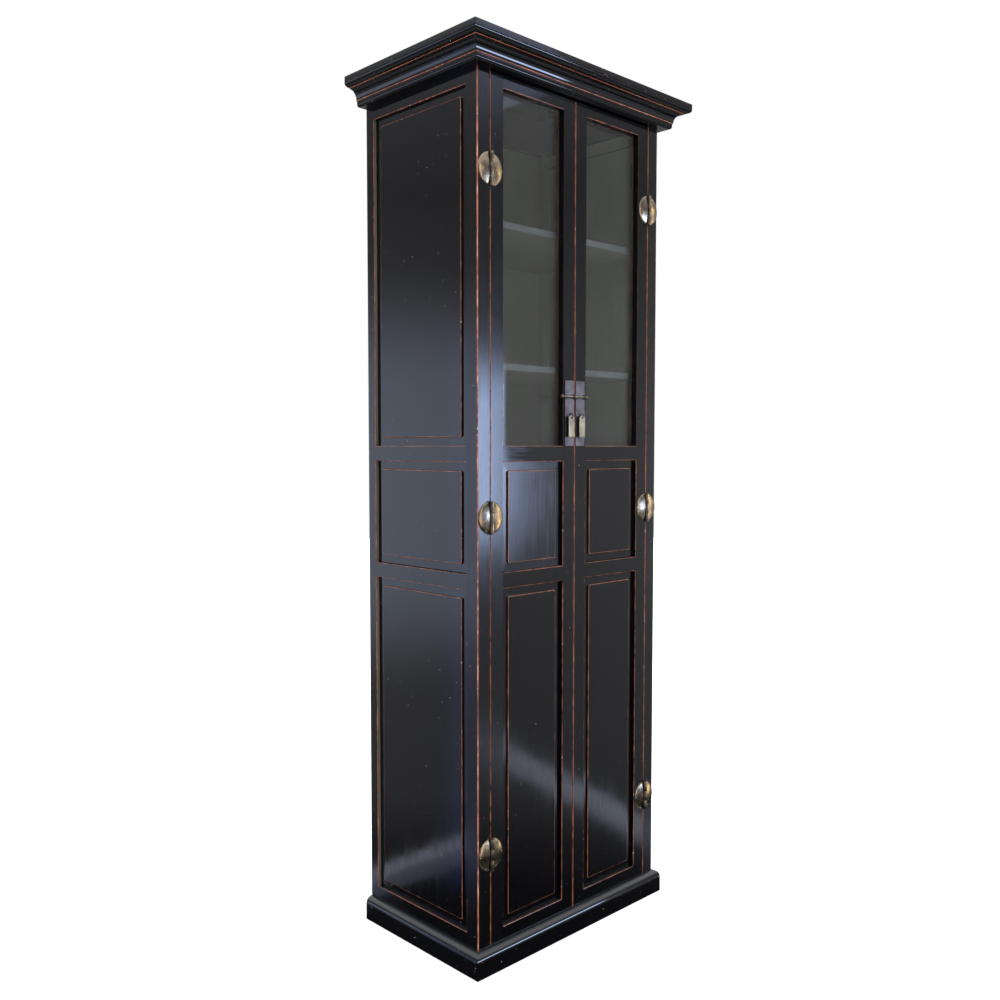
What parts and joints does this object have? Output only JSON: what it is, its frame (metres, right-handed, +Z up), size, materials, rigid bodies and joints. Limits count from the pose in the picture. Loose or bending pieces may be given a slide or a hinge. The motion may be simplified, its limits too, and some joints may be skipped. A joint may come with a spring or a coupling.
{
  "type": "tower display case",
  "caption": "Tall narrow display cabinet in black lacquered wood: hinged doors, glazed above and panelled below, panelled sides, moulded cornice and plinth, shelves, pin lock.",
  "frame": {"origin": "on the floor, under the middle of the overall box, which the cornice sets in plan", "axes": "+Z up; the doors face -Y; +X is to the right of someone who faces the doors"},
  "size_m": [0.78, 0.475, 2.13],
  "materials": {
    "black_lacquer": "semi-gloss black lacquer over orange-red underpaint, rubbed through to thin lines on the arrises",
    "dark_interior": "satin dark stain",
    "clear_glass": "polished clear sheet glass",
    "aged_brass": "aged, with a grey patina and rubbed high spots",
    "dark_bronze": "dark patina, semi-gloss",
    "worn_brass": "worn satin"
  },
  "bodies": {
    "case": {"plinth_base": "black_lacquer", "cornice_cap": "black_lacquer", "front_post_left": "black_lacquer", "rear_post_left": "black_lacquer", "front_post_right": "black_lacquer", "rear_post_right": "black_lacquer", "side_rail_bottom_left": "black_lacquer", "side_rail_lower_left": "black_lacquer", "side_rail_upper_left": "black_lacquer", "side_rail_top_left": "black_lacquer", "side_panel_lower_left": "black_lacquer", "side_panel_middle_left": "black_lacquer", "side_panel_upper_left": "black_lacquer", "side_rail_bottom_right": "black_lacquer", "side_rail_lower_right": "black_lacquer", "side_rail_upper_right": "black_lacquer", "side_rail_top_right": "black_lacquer", "side_panel_lower_right": "black_lacquer", "side_panel_middle_right": "black_lacquer", "side_panel_upper_right": "black_lacquer", "back_panel": "dark_interior", "shelf_1": "dark_interior", "shelf_2": "dark_interior", "shelf_3": "dark_interior", "shelf_4": "dark_interior", "hinge_post_leaf_1_left": "aged_brass", "hinge_post_leaf_2_left": "aged_brass", "hinge_post_leaf_3_left": "aged_brass", "hinge_post_leaf_1_right": "aged_brass", "hinge_post_leaf_2_right": "aged_brass", "hinge_post_leaf_3_right": "aged_brass"},
    "door_left": {"hinge_stile_left": "black_lacquer", "meeting_stile_left": "black_lacquer", "door_rail_bottom_left": "black_lacquer", "door_rail_lower_left": "black_lacquer", "door_rail_upper_left": "black_lacquer", "door_rail_top_left": "black_lacquer", "door_panel_lower_left": "black_lacquer", "door_panel_middle_left": "black_lacquer", "door_glass_left": "clear_glass", "hinge_door_leaf_1_left": "aged_brass", "hinge_door_leaf_2_left": "aged_brass", "hinge_door_leaf_3_left": "aged_brass", "lock_plate_left": "dark_bronze"},
    "door_right": {"hinge_stile_right": "black_lacquer", "meeting_stile_right": "black_lacquer", "door_rail_bottom_right": "black_lacquer", "door_rail_lower_right": "black_lacquer", "door_rail_upper_right": "black_lacquer", "door_rail_top_right": "black_lacquer", "door_panel_lower_right": "black_lacquer", "door_panel_middle_right": "black_lacquer", "door_glass_right": "clear_glass", "hinge_door_leaf_1_right": "aged_brass", "hinge_door_leaf_2_right": "aged_brass", "hinge_door_leaf_3_right": "aged_brass", "lock_plate_right": "dark_bronze"},
    "lock_pin": {"lock_pin": "dark_bronze"},
    "pull_left": {"pull_tab_left": "worn_brass"},
    "pull_right": {"pull_tab_right": "worn_brass"}
  },
  "joints": [
    {"name": "door_left_hinge", "type": "hinge", "parent": "case", "child": "door_left", "pos_m": [-0.286, -0.1781, 1.062], "axis": [0, 0, -1], "range_deg": [0, 165]},
    {"name": "door_right_hinge", "type": "hinge", "parent": "case", "child": "door_right", "pos_m": [0.286, -0.1781, 1.062], "axis": [0, 0, 1], "range_deg": [0, 165]},
    {"name": "lock_pin_slide", "type": "slide", "parent": "door_left", "child": "lock_pin", "axis": [-1, 0, 0], "range_m": [0, 0.045]},
    {"name": "pull_left_swing", "type": "hinge", "parent": "door_left", "child": "pull_left", "pos_m": [-0.0195, -0.17985, 1.3], "axis": [-1, 0, 0], "range_deg": [0, 100]},
    {"name": "pull_right_swing", "type": "hinge", "parent": "door_right", "child": "pull_right", "pos_m": [0.0195, -0.17985, 1.3], "axis": [-1, 0, 0], "range_deg": [0, 100]}
  ]
}
